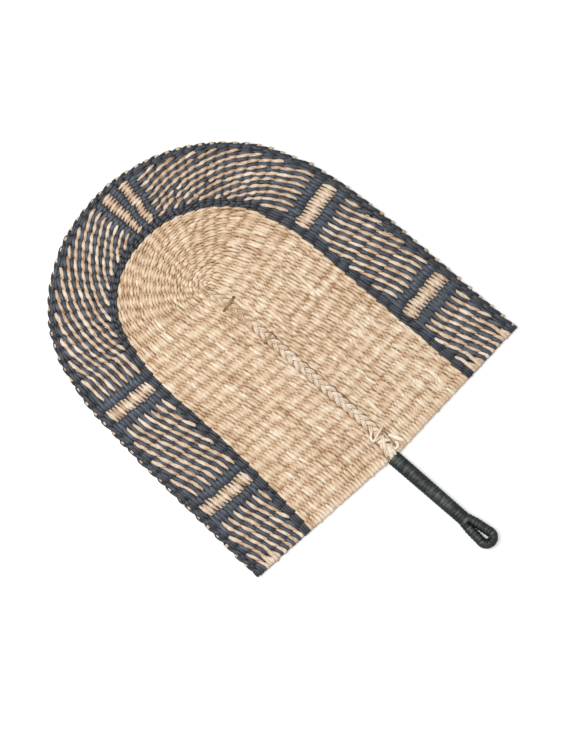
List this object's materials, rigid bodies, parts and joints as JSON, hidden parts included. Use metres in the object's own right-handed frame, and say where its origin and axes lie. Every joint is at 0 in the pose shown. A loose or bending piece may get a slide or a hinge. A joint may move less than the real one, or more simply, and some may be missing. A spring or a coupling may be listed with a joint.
{
  "type": "woven hand fan",
  "caption": "U-shaped twined grass hand fan with a dark patterned border, a plaited spine and a bound handle ending in a hanging loop.",
  "frame": {"origin": "middle of the crown, where the crown's spokes come together, on the flat back of the spine", "axes": "+Y up the spine away from the handle, +Z out of the front face, +X to the right seen from the front"},
  "size_m": [0.3067, 0.4515, 0.0112],
  "materials": {
    "natural_grass": "dry undyed grass strands, pale straw, matt with a slight sheen",
    "dyed_grass": "dyed blue-black grass strands, matt",
    "binding": "dark wound strip, matt, lightly worn"
  },
  "bodies": {
    "root": {"field_weave": "natural_grass", "core_bundle": "natural_grass", "cross_spoke_01": "natural_grass", "cross_spoke_02": "natural_grass", "cross_spoke_03": "natural_grass", "cross_spoke_04": "natural_grass", "cross_spoke_05": "natural_grass", "cross_spoke_06": "natural_grass", "cross_spoke_07": "natural_grass", "cross_spoke_08": "natural_grass", "cross_spoke_09": "natural_grass", "cross_spoke_10": "natural_grass", "cross_spoke_11": "natural_grass", "cross_spoke_12": "natural_grass", "cross_spoke_13": "natural_grass", "cross_spoke_14": "natural_grass", "cross_spoke_15": "natural_grass", "cross_spoke_16": "natural_grass", "cross_spoke_17": "natural_grass", "cross_spoke_18": "natural_grass", "cross_spoke_19": "natural_grass", "crown_spoke_01": "natural_grass", "crown_spoke_02": "natural_grass", "crown_spoke_03": "natural_grass", "crown_spoke_04": "natural_grass", "crown_spoke_05": "natural_grass", "crown_spoke_06": "natural_grass", "crown_spoke_07": "natural_grass", "crown_spoke_08": "natural_grass", "crown_spoke_09": "natural_grass", "crown_spoke_10": "natural_grass", "crown_spoke_11": "natural_grass", "crown_spoke_12": "natural_grass", "crown_spoke_13": "natural_grass", "crown_spoke_14": "natural_grass", "crown_spoke_15": "natural_grass", "crown_spoke_16": "natural_grass", "crown_spoke_17": "natural_grass", "crown_spoke_18": "natural_grass", "crown_spoke_19": "natural_grass", "plait_strand_01": "natural_grass", "plait_strand_02": "natural_grass", "plait_strand_03": "natural_grass", "plait_tie_01": "natural_grass", "plait_tie_02": "natural_grass", "plait_tie_03": "natural_grass", "inner_border": "dyed_grass", "pattern_band": "dyed_grass", "outer_border": "dyed_grass", "handle_binding": "binding", "loop_binding": "binding"}
  },
  "joints": []
}
